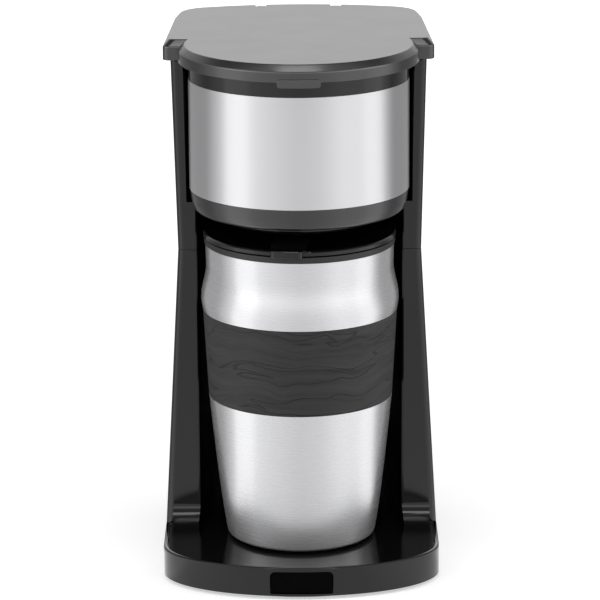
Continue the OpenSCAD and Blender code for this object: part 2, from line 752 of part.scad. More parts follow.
module lid() color(black) difference() {
  union() {
    difference() {
      union() {
        hull() {
          slab(lid_plan(0, 0), lid_z - ear_drop, lid_top - lid_slope_h);
          slab(lid_plan(lid_slope_w, rear_slope), lid_top - 0.01, lid_top);
        }
        at_axis(lid_z) cylinder(r = lid_r, h = lid_edge);
        at_axis(lid_z + lid_edge) cylinder(r1 = lid_r, r2 = lid_r - lid_slope_w, h = lid_slope_h);
        thumb_tab();
      }
      slab(lid_plan(wall, 3.4), lid_z - ear_drop - over, lid_top - wall);
      at_axis(lid_z - 2 * over) cylinder(r = lid_r - wall, h = lid_top - wall - lid_z + 2 * over);
      both_sides() translate([knuckle_w / 2, hinge_y - hinge_r - 2, lid_z - ear_drop - over])
        cube([4 + 2.6 * fit, 2 * hinge_r + 4, lid_edge + lid_slope_h + ear_drop + 3 * over]);
      translate([-knuckle_w / 2 - over, rear_y + 0.4, lid_z - ear_drop - over])
        cube([knuckle_w + 2 * over, 2 * hinge_r, ear_drop + 2 * over]);
    }
    hinge_place() cylinder(r = hinge_r - 0.1, h = knuckle_w, center = true);
    translate([0.1 - knuckle_w / 2, rear_y - 3, lid_z + 1])
      cube([knuckle_w - 0.2, hinge_back + 3, lid_top - lid_z - 2]);
  }
  hinge_place() cylinder(r = pin_r + run, h = 2 * knuckle_w, center = true);
}

module thumb_tab() intersection() {
  at_axis(lid_z - 2.2) cylinder(r = -front - 0.1, h = 3.6);
  at_axis(lid_z - 2.2) translate([-tab_w / 2, -2 * lid_r, 0]) cube([tab_w, lid_r + wall + 1, 3.6]);
}

liner_top = lid_top - wall - 0.1;

// Inner face of the lid, with a skirt that closes over the chamber's mouth
module lid_liner() color(matte) difference() {
  union() {
    slab(lid_plan(wall + 0.6, 4), liner_top - 1.6, liner_top);
    at_axis(liner_top - 1.6) cylinder(r = lid_r - wall - 0.6, h = 1.6);
    ring(ring_in - 3, ring_in - 4.6, lid_z + 2.6, liner_top - 1);
  }
  translate([-knuckle_w / 2 - 1, rear_y - 3.6, lid_z]) cube([knuckle_w + 2, 20, lid_edge + lid_slope_h]);
  both_sides() translate([knuckle_w / 2 - 1, hinge_y - hinge_r - 2, lid_z])
    cube([8, 20, lid_edge + lid_slope_h]);
  translate([spout_end.x - 10, axis_y, lid_z + over]) cube([port_x, 2 * head_r, liner_top - 2.6 - lid_z]);
}

// ---- Mug

// Radius of the mug's outer wall at a height above its foot
function shell_r(h) =
  h < sleeve_low ? blend(mug_base_r, sleeve_low_r, pow(max(h - shell_z, 0) / (sleeve_low - shell_z), 0.8))
  : h < sleeve_high ? blend(sleeve_low_r, sleeve_high_r, (h - sleeve_low) / sleeve_w)
  : h < swell_z ? blend(sleeve_high_r, mug_swell_r, sin(90 * (h - sleeve_high) / (swell_z - sleeve_high)))
  : h < waist_z ? blend(mug_swell_r, mug_waist_r, (1 - cos(180 * (h - swell_z) / (waist_z - swell_z))) / 2)
  : blend(mug_waist_r, rim_r, (h - waist_z) / (steel_top - waist_z));

function blend(a, b, t) = a + (b - a) * t;

// The wall steps in under the sleeve
function wall_r(h) = shell_r(h) - (h > sleeve_low && h < sleeve_high ? sleeve_t + seat : 0);

function heights(a, b, n) = [for (i = [0:n]) a + (b - a) * i / n];

shell_heights = concat(
  heights(shell_z + 1, sleeve_low, 12), heights(sleeve_low + 0.01, sleeve_high - 0.01, 4),
  heights(sleeve_high, steel_top, 16)
);

module mug_shell() color(steel) turned(concat(
  [[floor_z + shell_z, mug_base_r - 5], [floor_z + shell_z, mug_base_r - 1]],
  [for (h = shell_heights) [floor_z + h, wall_r(h)]],
  [for (i = [len(shell_heights) - 1:-1:0]) let (h = shell_heights[i]) [floor_z + h, wall_r(h) - steel_t]],
  [[floor_z + shell_z + steel_t, mug_base_r - 2], [floor_z + shell_z + steel_t, mug_base_r - 5]]
));

function liner_r(h) = min(shell_r(h), rim_r) - sleeve_t - seat - steel_t - air_gap;
liner_low = shell_z + 5;

module mug_liner() color(steel) turned(concat(
  [[floor_z + liner_low, 0]],
  [for (h = heights(liner_low + 0.01, steel_top - 4, 10)) [floor_z + h, liner_r(h)]],
  [[floor_z + steel_top, rim_r - steel_t - seat], [floor_z + steel_top, rim_r - 2 * steel_t - 2 * seat],
    [floor_z + steel_top - 4, liner_r(steel_top - 4) - steel_t]],
  [for (h = heights(steel_top - 5, liner_low + steel_t, 10)) [floor_z + h, liner_r(h) - steel_t]],
  [[floor_z + liner_low + steel_t, 0]]
));

module mug_sleeve() color(matte) turned(concat(
  [for (h = heights(sleeve_low + 0.1, sleeve_high - 0.1, 6)) [floor_z + h, shell_r(h)]],
  [for (h = heights(sleeve_high - 0.1, sleeve_low + 0.1, 6)) [floor_z + h, shell_r(h) - sleeve_t]]
));

collar_r = rim_r + 0.5;
collar_in = rim_r - 4.6;

module mug_collar() color(matte) turned([
  [floor_z + steel_top + 0.05, collar_in], [floor_z + steel_top + 0.05, collar_r],
  [floor_z + collar_top - 0.4, collar_r], [floor_z + collar_top, collar_r - 0.4],
  [floor_z + collar_top, collar_in]
]);

module mug_foot() color(rubber) turned([
  [floor_z, 0], [floor_z, mug_base_r - 3.4], [floor_z + foot_h - 0.05, mug_base_r - 2.4],
  [floor_z + foot_h - 0.05, mug_base_r - 5.2], [floor_z + foot_h + steel_t, mug_base_r - 5.2],
  [floor_z + foot_h + steel_t, 0]
]);

lid_disc_r = rim_r + 1;
recess = 0.9;                          // depth of the mug lid's top below its edge
recess_z = floor_z + mug_h - recess;
plug_r = liner_r(waist_z) - steel_t - fit;
gasket_t = 1.3;
plug_t = 1.6;
hole_r = 2.5;
hole_reach = plug_r - gasket_t - plug_t - hole_r - 0.4;    // drinking hole, from the mug's axis
lug_front = lid_disc_r + 1.9;
lug_back = lid_disc_r - 1.5;
lug_drop = 0.8;                        // the lug hangs below the lid's edge, in front of the collar
lug_high = 0.3;                        // and stands above it
closure_front = lug_back - fit - 0.1;
closure_l = 20;
groove_d = 0.6;
key_w = 4;
key_l = 4.5;
key_y = closure_l - closure_front - key_l - 0.8;

module turned_with_mug() at_axis() rotate([0, 0, mug_turn]) children();

// Screws into the collar by its plug; a lug at the front lifts it
module mug_lid() color(black) difference() {
  union() {
    turned([
      [floor_z + lid_under, 0], [floor_z + lid_under, lid_disc_r], [floor_z + mug_h - 0.7, lid_disc_r],
      [floor_z + mug_h, lid_disc_r - 0.7], [floor_z + mug_h, lid_disc_r - 2.5],
      [recess_z, lid_disc_r - 3.4], [recess_z, 0]
    ]);
    ring(plug_r - gasket_t, plug_r - gasket_t - plug_t, floor_z + lid_under - 9, floor_z + lid_under + 0.5);
    lift_lug();
  }
  turned_with_mug() {
    intersection() {
      translate([-closure_w / 2 - fit, -lug_front, recess_z])
        cube([closure_w + 2 * fit, lug_front - lid_disc_r + 4, recess + over]);
      translate([0, 0, recess_z - over]) cylinder(r = lug_back, h = recess + 3 * over);
    }
    translate([0, -hole_reach, floor_z + lid_under - over]) cylinder(r = hole_r, h = mug_lid_t + 2 * over);
    translate([0, 14, floor_z + lid_under - over]) cylinder(r = 1, h = mug_lid_t + 2 * over);
    translate([-key_w / 2 - fit, key_y - fit, recess_z - groove_d])
      cube([key_w + 2 * fit, key_l + closure_travel + 2 * fit, groove_d + over]);
  }
}

module lift_lug() turned_with_mug() difference() {
  slab(tongue_plan(lug_front, 5), floor_z + lid_under - lug_drop, floor_z + mug_h + lug_high);
  translate([0, 0, floor_z + lid_under - lug_drop - over])
    cylinder(r = lid_disc_r - 0.1, h = lug_drop + over);
}

// Outline of a strip as wide as the closure, whose front end bows about the mug's axis at a radius
function tongue_plan(r, l) =
  let (
    corner = 2.5, hw = closure_w / 2, bow = asin((hw - corner) / r), peak = r / cos(bow),
    side_y = hw * tan(bow) - peak
  )
  rounded([[-hw, side_y, corner], [0, -peak, r], [hw, side_y, corner], [hw, l - r, 0], [-hw, l - r, 0]]);

module mug_gasket() color(silicone)
  ring(plug_r + 0.1, plug_r - gasket_t + 0.05, floor_z + lid_under - 7, floor_z + lid_under - 4);

// Slides in towards the middle of the lid and so bares the drinking hole; its key runs in a groove
module mug_closure() color(matte) turned_with_mug() {
  slab(tongue_plan(closure_front, closure_l), recess_z + seat, recess_z + recess + closure_high);
  translate([-key_w / 2, key_y, recess_z - groove_d + seat]) cube([key_w, key_l, groove_d + over]);
}

lower_housing();
bottom_cover();
rubber_feet();
base_screws();
upper_housing();
water_tank();
brew_chamber();
head_top_ring();
steel_band();
head_lower_ring();
drip_cup();
filter_basket();
filter_mesh();
water_spout();
hinge_pin();
heater_block();
heater_bracket();
heater_screws();
thermostat();
thermal_fuses();
check_valve();
check_ball();
inlet_hose();
riser_hose();
hose_clamps();
switch_body();
pilot_lamp();
power_button();
leads();
cord_gland();
lid();
lid_liner();
mug_shell();
mug_liner();
mug_sleeve();
mug_collar();
mug_foot();
mug_lid();
mug_gasket();
mug_closure();
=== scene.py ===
import math

import bmesh
import bpy
from mathutils import Matrix, Vector


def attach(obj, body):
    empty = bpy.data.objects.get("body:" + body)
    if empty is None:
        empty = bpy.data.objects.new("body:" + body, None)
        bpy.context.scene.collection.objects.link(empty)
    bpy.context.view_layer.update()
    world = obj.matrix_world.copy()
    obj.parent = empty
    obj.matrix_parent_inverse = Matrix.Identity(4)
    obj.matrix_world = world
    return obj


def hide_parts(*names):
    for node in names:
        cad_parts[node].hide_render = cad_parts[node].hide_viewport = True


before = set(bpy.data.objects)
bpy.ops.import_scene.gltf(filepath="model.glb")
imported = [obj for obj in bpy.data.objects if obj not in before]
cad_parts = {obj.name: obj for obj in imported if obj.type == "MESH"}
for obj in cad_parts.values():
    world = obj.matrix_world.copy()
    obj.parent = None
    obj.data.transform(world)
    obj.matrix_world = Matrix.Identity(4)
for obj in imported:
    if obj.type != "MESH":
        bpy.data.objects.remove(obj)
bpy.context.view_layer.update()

scene = bpy.context.scene
scene.view_settings.view_transform = "Standard"


# ---- Camera
# A long lens 1.5 m in front of the machine, looking 15 degrees down on it. It stands a third of a
# degree out of level.
camera_data = bpy.data.cameras.new("camera")
camera_data.sensor_width = 36
camera_data.lens = 203.8
camera = bpy.data.objects.new("camera", camera_data)
scene.collection.objects.link(camera)
camera.location = (0, -1.492, 0.516)
CAMERA_PITCH, CAMERA_ROLL = 15, -0.34
camera.rotation_euler = (Matrix.Rotation(math.radians(90 - CAMERA_PITCH), 3, "X")
                         @ Matrix.Rotation(math.radians(CAMERA_ROLL), 3, "Z")).to_euler()
scene.camera = camera


# ---- Studio
# White paper under and behind the machine, a softbox on each side, a panel behind it and a strip
# above. Metal, gloss and glass don't see the side softboxes but a room of plain tones, which are
# listed by direction below and give them their upright shading.
def part_to_linear(v):
    return v / 12.92 if v <= 0.04045 else ((v + 0.055) / 1.055) ** 2.4


def linear(hex_colour):
    return tuple(part_to_linear(int(hex_colour[i:i + 2], 16) / 255) for i in (1, 3, 5)) + (1,)


def add(tree, kind, inputs=None, **settings):
    """Adds a shader node with its settings, its values and the sockets linked to it."""
    node = tree.nodes.new("ShaderNode" + kind)
    for key, value in settings.items():
        setattr(node, key, value)
    for key, value in (inputs or {}).items():
        if isinstance(value, bpy.types.NodeSocket):
            tree.links.new(value, node.inputs[key])
        else:
            node.inputs[key].default_value = value
    return node


def ray_kinds(tree):
    """1 on camera rays, and 1 on the rays that gloss, metal or glass send out."""
    path = add(tree, "LightPath")
    mirrored = add(tree, "Math", {0: path.outputs["Is Glossy Ray"],
                                  1: path.outputs["Is Transmission Ray"]}, operation="MAXIMUM")
    return path.outputs["Is Camera Ray"], mirrored.outputs[0]


# Brightness round the room as metal and gloss see it: 0 and 1 lie in front of the machine, 0.25 to
# its left, 0.5 behind it and 0.75 to its right. The two brightest bands stand where the side
# softboxes do.
ROOM_TONES = ((0.0, 0.9), (0.09, 1.1), (0.135, 1.25), (0.15, 1.6), (0.215, 1.6), (0.232, 1.0),
              (0.262, 0.72), (0.3, 0.36), (0.425, 0.36), (0.445, 0.9), (0.555, 0.9),
              (0.575, 0.36), (0.695, 0.34), (0.73, 0.9), (0.748, 1.5), (0.8, 1.5), (0.815, 1.3),
              (0.88, 1.3), (0.94, 1.0), (1.0, 0.9))
# What that brightness is multiplied by at each height, from level (0) to straight up (1)
HIGH_TONES = ((0.0, 1.0), (0.22, 1.0), (0.36, 2.0), (0.55, 2.0), (0.7, 0.5), (1.0, 0.5))
BRIGHTEST = 2  # a colour ramp holds 0 to 1, so its tones are stored as shares of this


def tone_at(tree, share, tones):
    """The tone from a list of (place, tone) at a place from 0 to 1."""
    ramp = add(tree, "ValToRGB", {0: share})
    stops = ramp.color_ramp.elements
    for position, _ in tones[1:-1]:
        stops.new(position)
    for stop, (position, tone) in zip(stops, tones):
        stop.color = (tone / BRIGHTEST,) * 3 + (1,)
    return add(tree, "Math", {0: ramp.outputs[0], 1: BRIGHTEST}, operation="MULTIPLY").outputs[0]


def room_tone(tree, place):
    """Brightness of the room as metal and gloss see it in the direction of a place."""
    parts = add(tree, "SeparateXYZ", {0: place})
    turn = add(tree, "Math", {0: parts.outputs[0], 1: parts.outputs[1]}, operation="ARCTAN2")
    share = add(tree, "MapRange", {"Value": turn.outputs[0], "From Min": -math.pi,
                                   "From Max": math.pi})
    return tone_at(tree, share.outputs[0], ROOM_TONES)


# Paper white to the camera, the room's tones to metal and gloss, and an even light to all else
AMBIENT = 0.5
world = bpy.data.worlds.new("studio")
scene.world = world
world.use_nodes = True
tree = world.node_tree
tree.nodes.clear()
seen, mirrored = ray_kinds(tree)
aim = add(tree, "TexCoord").outputs["Generated"]
up = add(tree, "SeparateXYZ", {0: aim}).outputs[2]
room = add(tree, "Math", {0: room_tone(tree, aim), 1: tone_at(tree, up, HIGH_TONES)},
           operation="MULTIPLY")
unseen = add(tree, "MapRange", {"Value": mirrored, "To Min": AMBIENT, "To Max": room.outputs[0]})
strength = add(tree, "MapRange", {"Value": seen, "To Min": unseen.outputs[0], "To Max": 1.0})
sky = add(tree, "Background", {"Color": (1, 1, 1, 1), "Strength": strength.outputs[0]})
add(tree, "OutputWorld", {"Surface": sky.outputs[0]})

# The paper glows a little under the machine, and fully from 1.6 m out, where it meets the sky
FLOOR_GLOW, GLOW_START, GLOW_FULL = 0.5, 0.3, 1.6
floor_paper = bpy.data.materials.new("white_paper_sweep")
floor_paper.use_nodes = True
tree = floor_paper.node_tree
tree.nodes.clear()
seen, mirrored = ray_kinds(tree)
paper = add(tree, "BsdfDiffuse", {"Color": linear("#F0F0F0")})
spot = add(tree, "TexCoord").outputs["Object"]
reach = add(tree, "VectorMath", {0: spot}, operation="LENGTH")
glow_at = add(tree, "MapRange", {"Value": reach.outputs["Value"], "From Min": GLOW_START,
                                 "From Max": GLOW_FULL, "To Min": FLOOR_GLOW, "To Max": 1.0})
glow_level = add(tree, "Math", {0: seen, 1: glow_at.outputs[0]}, operation="MULTIPLY")
glow = add(tree, "Emission", {"Color": (1, 1, 1, 1), "Strength": glow_level.outputs[0]})
both = add(tree, "AddShader", {0: paper.outputs[0], 1: glow.outputs[0]})
room = room_tone(tree, spot)
reflected = add(tree, "Emission", {"Color": (1, 1, 1, 1), "Strength": room})
surface = add(tree, "MixShader", {0: mirrored, 1: both.outputs[0], 2: reflected.outputs[0]})
add(tree, "OutputMaterial", {"Surface": surface.outputs[0]})
FLOOR_HALF_M = 6
bm = bmesh.new()
bmesh.ops.create_grid(bm, x_segments=1, y_segments=1, size=FLOOR_HALF_M)
floor_mesh = bpy.data.meshes.new("floor")
bm.to_mesh(floor_mesh)
bm.free()
floor_mesh.materials.append(floor_paper)
floor = bpy.data.objects.new("floor", floor_mesh)
scene.collection.objects.link(floor)


def softbox(name, place, aim, size, watts, in_gloss=True):
    """A rectangular lamp, aimed at a point. Metal and gloss may be kept from seeing it."""
    lamp = bpy.data.lights.new(name, "AREA")
    lamp.shape = "RECTANGLE"
    lamp.size, lamp.size_y = size
    lamp.energy = watts
    obj = bpy.data.objects.new(name, lamp)
    scene.collection.objects.link(obj)
    obj.location = place
    obj.rotation_euler = (Vector(aim) - Vector(place)).to_track_quat("-Z", "Y").to_euler()
    obj.visible_glossy = in_gloss


# Where the lamps aim: half way up the machine, the middle of its lid and the lid's front, in m
AT_SIDES, AT_LID, AT_FRONT = (0, 0, 0.15), (0, 0, 0.24), (0, -0.07, 0.24)
softbox("softbox_left", (-1.1, -0.45, 0.6), AT_SIDES, size=(0.8, 1.2), watts=4.5, in_gloss=False)
softbox("softbox_right", (1.18, -0.15, 0.6), AT_SIDES, size=(0.8, 1.2), watts=4.5, in_gloss=False)
softbox("panel_behind", (0, 1.7, 0.72), AT_LID, size=(2.6, 1.0), watts=1.0)
softbox("strip_above", (0, -0.35, 1.3), AT_FRONT, size=(0.5, 0.3), watts=1.6)


# ---- Base and column
# The lower housing is one injection moulding in gloss black ABS: the drip tray's base, and the
# column that stands behind it. Every outer edge has the small round that a mould gives.
MM = 0.001  # a millimetre, in metres


def finish_material(name, **values):
    """A Principled material, its tree and its shader, with plain values on the shader's sockets."""
    material = bpy.data.materials.new(name)
    material.use_nodes = True
    tree = material.node_tree
    tree.nodes.clear()
    shader = add(tree, "BsdfPrincipled", {key.replace("_", " ").title().replace("Ior", "IOR"): v
                                          for key, v in values.items()})
    add(tree, "OutputMaterial", {"Surface": shader.outputs[0]})
    return material, tree, shader


def grained(tree, shader, polish, rough, relief, strength, height_mm):
    """Gives a surface its grain: the polish, a noise, moves its roughness from the lowest to the
    highest value in rough, and the relief, a second one, raises it by up to height_mm."""
    noise_low, noise_high = 0.3, 0.7  # nearly all of a noise lies between these
    rough_map = add(tree, "MapRange", {"Value": polish.outputs[0], "From Min": noise_low,
                                       "From Max": noise_high, "To Min": rough[0],
                                       "To Max": rough[1]})
    tree.links.new(rough_map.outputs[0], shader.inputs["Roughness"])
    bump = add(tree, "Bump", {"Height": relief.outputs[0], "Strength": strength,
                              "Distance": height_mm * MM})
    tree.links.new(bump.outputs[0], shader.inputs["Normal"])


def moulded_plastic(name, colour, rough, ripple_mm, ripple, shine=0.5):
    """Moulded plastic: a slightly uneven polish, and the faint ripple that the mould leaves.
    rough holds the lowest and highest roughness, and ripple is the ripple's strength."""
    material, tree, shader = finish_material(name, base_color=linear(colour), ior=1.52,
                                             specular_ior_level=shine)
    place = add(tree, "TexCoord").outputs["Object"]
    patch_mm, height_mm = 18, 0.05
    polish = add(tree, "TexNoise", {"Vector": place, "Scale": 1 / (patch_mm * MM), "Detail": 4.0})
    waves = add(tree, "TexNoise", {"Vector": place, "Scale": 1 / (ripple_mm * MM), "Detail": 2.0})
    grained(tree, shader, polish, rough, waves, ripple, height_mm)
    return material


# Gloss black ABS, moulded in a polished tool: deep black with a clear, slightly soft reflection
gloss_abs = moulded_plastic("gloss_black_ABS", "#0C0C0D", rough=(0.1, 0.15), ripple_mm=9,
                            ripple=0.12, shine=0.42)


def eased(node, name, body, material, rounds):
    """A copy of a CAD node with its edges rounded. rounds lists (width in mm, test of an edge).
    Only edges sharper than seam_deg are rounded, and the rest of them are shaded sharp."""
    weld_mm, flat_deg, seam_deg = 0.002, 0.6, 28
    bm = bmesh.new()
    bm.from_mesh(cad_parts[node].data)
    # The CAD mesh is loose triangles: they are welded, and the flat ones joined into faces
    bmesh.ops.remove_doubles(bm, verts=bm.verts, dist=weld_mm * MM)
    bmesh.ops.dissolve_limit(bm, angle_limit=math.radians(flat_deg), verts=bm.verts,
                             edges=bm.edges, delimit=set())
    for width, test in rounds:
        edges = [e for e in bm.edges if len(e.link_faces) == 2
                 and e.calc_face_angle(0) > math.radians(seam_deg) and test(e)]
        if edges:
            bmesh.ops.bevel(bm, geom=edges, offset=width * MM, offset_type="OFFSET", segments=3,
                            profile=0.5, affect="EDGES", clamp_overlap=False, material=-1)
    return shown(bm, name, body, material, seam_deg)


def shown(bm, name, body, material, seam_deg=32):
    """Makes a mesh object of bm, in place, riding on its body with its finish."""
    mesh = bpy.data.meshes.new(name)
    bm.to_mesh(mesh)
    bm.free()
    if "custom_normal" in mesh.attributes:  # the CAD mesh's shading, which no longer fits
        mesh.attributes.remove(mesh.attributes["custom_normal"])
    mesh.shade_smooth()
    mesh.set_sharp_from_angle(angle=math.radians(seam_deg))
    mesh.materials.append(material)
    obj = bpy.data.objects.new(name, mesh)
    scene.collection.objects.link(obj)
    flat_faces = obj.modifiers.new("flat_faces", "WEIGHTED_NORMAL")
    flat_faces.keep_sharp = True
    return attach(obj, body)


NEAR_Z, NEAR = 0.02, 0.1  # the slack of a test of height and of a test of place, in mm


def level(e, z):
    """Edges that lie at a height in mm."""
    return all(abs(v.co.z - z * MM) < NEAR_Z * MM for v in e.verts)


def tall(e, height):
    """Edges of a face that is taller than a height in mm."""
    return any(max(v.co.z for v in f.verts) - min(v.co.z for v in f.verts) > height * MM
               for f in e.link_faces)


# The mug's axis, the tray's rim, the foot and the seam of the housing, then the column's front
# face and half the width of the mug's bay in it, all in mm
AXIS_Y, RIM_Z, BASE_Z, SEAM_Z = -24, 15, 1.5, 144
FACE_Y, BAY_HALF = -16, 46.01
WALL = 5  # faces taller than this are walls, and the others are ledges


def at_mouth(e, half_width):
    """Upright edges where the column's face turns into the mug's bay or the head's pocket."""
    return all(abs(v.co.y - FACE_Y * MM) < NEAR * MM
               and abs(abs(v.co.x) - half_width * MM) < 2 * NEAR * MM for v in e.verts)


def in_front(e):
    """Edges of the tray's rim that run clear of the column."""
    return all(v.co.y < (FACE_Y + NEAR) * MM for v in e.verts)


lower = eased("lower_housing", "base_and_column", "appliance", gloss_abs, [
    (0.9, lambda e: at_mouth(e, BAY_HALF)),
    (1.3, lambda e: level(e, RIM_Z) and tall(e, WALL) and in_front(e)),
    (0.3, lambda e: level(e, RIM_Z) and not tall(e, WALL)),
    (0.5, lambda e: level(e, BASE_Z) and tall(e, WALL)),
    (0.3, lambda e: level(e, SEAM_Z)),
])
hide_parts("lower_housing")


# ---- Underside
# A satin polypropylene cover closes the base, held by four zinc-plated screws. Four rubber feet
# sit in its round recesses.
def dress(material, *nodes):
    """Gives CAD nodes their material and leaves their meshes alone."""
    for node in nodes:
        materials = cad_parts[node].data.materials
        materials.clear()
        materials.append(material)


# Satin black polypropylene: fine spark-eroded texture that breaks up the reflection
satin_pp = moulded_plastic("satin_black_PP", "#141415", rough=(0.42, 0.5), ripple_mm=0.9,
                           ripple=0.5)
# Rubber: dull, a little grey, with a fine dusty grain
rubber = moulded_plastic("black_rubber", "#19191A", rough=(0.78, 0.88), ripple_mm=0.6, ripple=0.8)


def bright_metal(name, colour, rough, grain_mm):
    """Plain metal with a fine grain, which makes its roughness vary about the one given."""
    material, tree, shader = finish_material(name, base_color=linear(colour), metallic=1.0)
    place = add(tree, "TexCoord").outputs["Object"]
    grain = add(tree, "TexNoise", {"Vector": place, "Scale": 1 / (grain_mm * MM), "Detail": 5.0})
    grained(tree, shader, grain, (rough * 0.8, rough * 1.3), grain, strength=0.2, height_mm=0.04)
    return material


# Zinc-plated steel: bright, slightly blue grey, softly mottled
zinc_steel = bright_metal("zinc_plated_steel", "#C4C6C9", rough=0.28, grain_mm=1.5)
dress(satin_pp, "bottom_cover")
dress(rubber, "rubber_feet", "cord_gland")
dress(zinc_steel, "base_screws")


# ---- Power button
# A push button in the front of the base, over the switch. It is moulded in PP and blasted, so
# that it stays matt under fingers.

# Matt black PP: dull and deep, with hardly any reflection
matt_pp = moulded_plastic("matt_black_PP", "#050505", rough=(0.85, 0.95), ripple_mm=0.8,
                          ripple=0.6, shine=0.05)
dress(matt_pp, "power_button")


# ---- Heater, water path and wiring
# Hidden in the column: a cast aluminium flow heater on a steel bracket, silicone hoses with
# spring clamps, a check valve with a steel ball, and the sleeved leads.

# Cast aluminium: grey and grainy from the mould
cast_aluminium = bright_metal("cast_aluminium", "#A6A8AA", rough=0.5, grain_mm=1.2)
# Silicone rubber hose: milky, soft sheen
silicone = moulded_plastic("milky_silicone", "#D2CFC6", rough=(0.45, 0.55), ripple_mm=4, ripple=0.3)
# Woven glass-fibre sleeving: dull red brown
lead_sleeving = moulded_plastic("sleeved_lead", "#6E2A22", rough=(0.7, 0.8), ripple_mm=0.5,
                                ripple=0.9)
# Red polycarbonate lens: polished and dark while the lamp is off
lamp_lens = moulded_plastic("red_lamp_lens", "#8A2620", rough=(0.1, 0.2), ripple_mm=3, ripple=0.2)
dress(cast_aluminium, "heater_block")
dress(zinc_steel, "heater_bracket", "heater_screws", "hose_clamps", "check_ball")
dress(silicone, "inlet_hose", "riser_hose", "thermal_fuses")
dress(satin_pp, "thermostat", "check_valve", "switch_body")
dress(lead_sleeving, "leads")
dress(lamp_lens, "pilot_lamp")


# ---- Upper housing and water tank
# The upper moulding carries on the column's form round the brew head, and the smoky SAN tank
# hangs in it by its flange.
TOP_Z, POCKET_HALF = 230.1, 50.47
upper = eased("upper_housing", "upper_column", "appliance", gloss_abs, [
    (0.9, lambda e: at_mouth(e, BAY_HALF) or at_mouth(e, POCKET_HALF)),
    (0.3, lambda e: level(e, SEAM_Z)),
    (0.4, lambda e: level(e, TOP_Z)),
])
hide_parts("upper_housing")
# Smoky SAN: hard, glossy and blue grey
smoky_san = moulded_plastic("smoky_SAN", "#5B6165", rough=(0.08, 0.16), ripple_mm=12, ripple=0.2)
dress(smoky_san, "water_tank")


# ---- Brew head
# Black rings of gloss ABS above and below a band of brushed stainless steel, wrapped round the
# brew chamber. The drip cup under them is moulded with the lower ring's finish.
def turned(name, body, material, points, rounded, round_mm):
    """A body of revolution about the mug's axis, from (radius, height) points in mm. rounded
    lists the points where its outline is rounded, and round_mm says how far."""
    steps, weld_mm = 192, 0.001
    bm = bmesh.new()
    verts = [bm.verts.new((r * MM, 0, z * MM)) for r, z in points]
    for pair in zip(verts, verts[1:] + verts[:1]):
        bm.edges.new(pair)
    bmesh.ops.bevel(bm, geom=[verts[i] for i in rounded], offset=round_mm * MM,
                    offset_type="OFFSET", segments=4, profile=0.5, affect="VERTICES",
                    clamp_overlap=True, material=-1)
    bmesh.ops.spin(bm, geom=bm.verts[:] + bm.edges[:], cent=(0, 0, 0), axis=(0, 0, 1),
                   dvec=(0, 0, 0), angle=math.tau, steps=steps, use_merge=True,
                   use_duplicate=False)
    bmesh.ops.remove_doubles(bm, verts=bm.verts, dist=weld_mm * MM)
    bmesh.ops.recalc_face_normals(bm, faces=bm.faces)
    bmesh.ops.translate(bm, verts=bm.verts, vec=(0, AXIS_Y * MM, 0))
    return shown(bm, name, body, material)


def brushed_steel(name, colour, rough, line_mm, depth, metal):
    """Stainless steel brushed round its axis: fine level lines that stretch highlights upright.
    line_mm is the lines' spacing and depth their strength."""
    material, tree, shader = finish_material(
        name, base_color=linear(colour), metallic=metal, anisotropic=0.75,
        anisotropic_rotation=0.25)
    place = add(tree, "TexCoord").outputs["Object"]
    run_mm = 1000 / 14  # how far a line runs round the piece
    lines = add(tree, "Mapping", {"Vector": place, "Scale": (
        1 / (run_mm * MM), 1 / (run_mm * MM), 1 / (line_mm * MM))})
    brush = add(tree, "TexNoise", {"Vector": lines.outputs[0], "Scale": 1.0, "Detail": 3.0,
                                   "Roughness": 0.7})
    grained(tree, shader, brush, (rough - 0.02, rough + 0.035), brush, depth, height_mm=0.03)
    tangent = add(tree, "Tangent", direction_type="RADIAL", axis="Z")
    tree.links.new(tangent.outputs[0], shader.inputs["Tangent"])
    return material


# 18/8 stainless steel strip, belt brushed along its length: pale, with broad upright highlights
band_steel = brushed_steel("brushed_stainless_strip", "#CBCBCD", rough=0.3, line_mm=0.22,
                           depth=0.12, metal=0.88)

# The strip runs round the chamber, and its two ends stop 25 degrees short of the back, inside the
# column
BAND_R, BAND_LOW, BAND_HIGH, BAND_T, BAND_GAP = 48.7, 175.4, 224.7, 0.8, 25
band_bm = bmesh.new()
band_bm.edges.new([band_bm.verts.new((0, BAND_R * MM, z * MM)) for z in (BAND_LOW, BAND_HIGH)])
bmesh.ops.rotate(band_bm, verts=band_bm.verts, cent=(0, 0, 0),
                 matrix=Matrix.Rotation(math.radians(BAND_GAP), 3, "Z"))
bmesh.ops.spin(band_bm, geom=band_bm.verts[:] + band_bm.edges[:], cent=(0, 0, 0), axis=(0, 0, 1),
               dvec=(0, 0, 0), angle=math.radians(360 - 2 * BAND_GAP), steps=180, use_merge=False,
               use_duplicate=False)
bmesh.ops.translate(band_bm, verts=band_bm.verts, vec=(0, AXIS_Y * MM, 0))
bmesh.ops.recalc_face_normals(band_bm, faces=band_bm.faces)
# An open strip has no inside of its own, so it is turned outwards before it gets its thickness
centre = Vector((0, AXIS_Y * MM, (BAND_LOW + BAND_HIGH) / 2 * MM))
face = band_bm.faces[:][0]
if face.normal.dot(face.calc_center_median() - centre) < 0:
    bmesh.ops.reverse_faces(band_bm, faces=band_bm.faces)
bmesh.ops.solidify(band_bm, geom=band_bm.faces[:], thickness=BAND_T * MM)
band = shown(band_bm, "steel_wrap", "appliance", band_steel)
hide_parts("steel_band")

